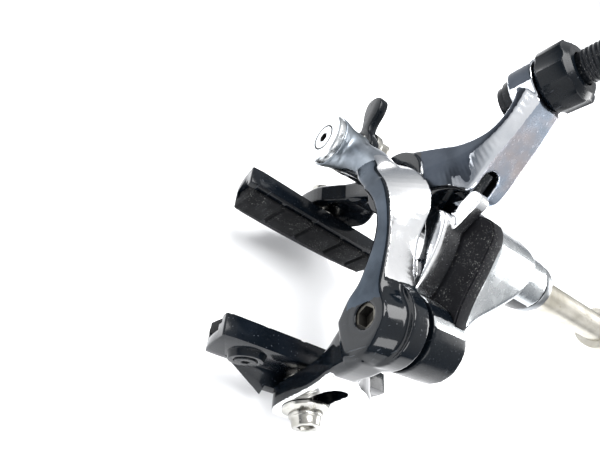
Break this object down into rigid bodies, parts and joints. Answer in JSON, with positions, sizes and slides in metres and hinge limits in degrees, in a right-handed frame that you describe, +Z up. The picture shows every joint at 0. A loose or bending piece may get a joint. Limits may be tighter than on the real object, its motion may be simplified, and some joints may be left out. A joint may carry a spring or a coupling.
{
  "type": "caliper brake",
  "caption": "Dual pivot side pull rim brake caliper for a road bicycle, black and polished silver, with release lever, barrel adjuster, shoes and rear sleeve nut.",
  "frame": {"origin": "on the centre bolt axis, in the plane where the brake's toothed washer meets the fork or frame", "axes": "X to the viewer's right seen from the front, Y to the rear along the centre bolt, Z up"},
  "size_m": [0.0878, 0.105, 0.1012],
  "materials": {
    "bracket_alloy": "polished silver with black anodised sides",
    "arm_black": "black gloss anodised, machined faces polished bright",
    "arm_polished": "polished with a dark anodised front",
    "cover_resin": "matt, dusty",
    "spring_steel": "bright wire",
    "black_steel": "blackened",
    "steel": "stainless, lightly stained",
    "nut_alloy": "satin, slightly yellowed",
    "bush_bronze": "plain",
    "black_alloy": "black anodised, satin",
    "shoe_black": "black, satin gloss",
    "pad_rubber": "worn flat"
  },
  "bodies": {
    "bracket": {"bracket": "bracket_alloy", "spring_cover": "cover_resin", "return_spring": "spring_steel", "centre_bolt": "black_steel", "centre_washer": "steel", "toothed_washer": "steel", "sleeve_nut": "nut_alloy", "front_pivot_bolt": "steel", "rear_pivot_bolt": "steel", "front_pivot_nut": "steel", "rear_pivot_nut": "steel", "front_thrust_washer": "steel", "rear_thrust_washer": "steel"},
    "front_arm": {"front_arm": "arm_black", "front_bush": "bush_bronze"},
    "rear_arm": {"rear_arm": "arm_polished", "rear_bush": "bush_bronze", "centring_screw": "black_steel", "adjuster_detent": "steel"},
    "adjuster_barrel": {"adjuster_barrel": "black_alloy"},
    "adjuster_knob": {"adjuster_knob": "black_alloy"},
    "release": {"release_axle": "steel", "release_lever": "black_alloy", "cable_bolt": "steel", "cable_clamp": "steel"},
    "near_shoe": {"near_shoe": "shoe_black", "near_pad": "pad_rubber", "near_pad_screw": "black_steel", "near_pad_bolt": "steel", "near_outer_washer": "steel", "near_convex_washer": "steel", "near_concave_washer": "steel"},
    "far_shoe": {"far_shoe": "shoe_black", "far_pad": "pad_rubber", "far_pad_screw": "black_steel", "far_pad_bolt": "steel", "far_outer_washer": "steel", "far_convex_washer": "steel", "far_concave_washer": "steel"}
  },
  "joints": [
    {"name": "front_arm_pivot", "type": "hinge", "parent": "bracket", "child": "front_arm", "pos_m": [0.0197, -0.042, -0.011], "axis": [0, 1, 0], "range_deg": [0, 11], "stiffness_Nm_per_rad": 0.8, "springref_deg": -11.46, "deforming": ["return_spring"]},
    {"name": "rear_arm_pivot", "type": "hinge", "parent": "bracket", "child": "rear_arm", "pos_m": [-0.0197, -0.032, -0.011], "axis": [0, -1, 0], "range_deg": [0, 11]},
    {"name": "release_turn", "type": "hinge", "parent": "front_arm", "child": "release", "pos_m": [-0.032, -0.044, -0.0205], "axis": [0, -1, 0], "range_deg": [0, 75]},
    {"name": "knob_turn", "type": "hinge", "parent": "rear_arm", "child": "adjuster_knob", "pos_m": [-0.03109, -0.0265, 0.02989], "axis": [0.1564, 0, 0.9877], "range_deg": [0, 1440]},
    {"name": "barrel_slide", "type": "slide", "parent": "rear_arm", "child": "adjuster_barrel", "axis": [0.1564, 0, 0.9877], "range_m": [-0.004, 0]},
    {"name": "near_shoe_height", "type": "slide", "parent": "front_arm", "child": "near_shoe", "axis": [-0.1392, 0, 0.9903], "range_m": [0, 0.01]},
    {"name": "far_shoe_height", "type": "slide", "parent": "rear_arm", "child": "far_shoe", "axis": [0.1392, 0, 0.9903], "range_m": [0, 0.01]}
  ],
  "couplings": [
    {"joint": "rear_arm_pivot", "follows": "front_arm_pivot", "ratio": 1},
    {"joint": "knob_turn", "follows": "barrel_slide", "rad_per_m": -6283}
  ]
}
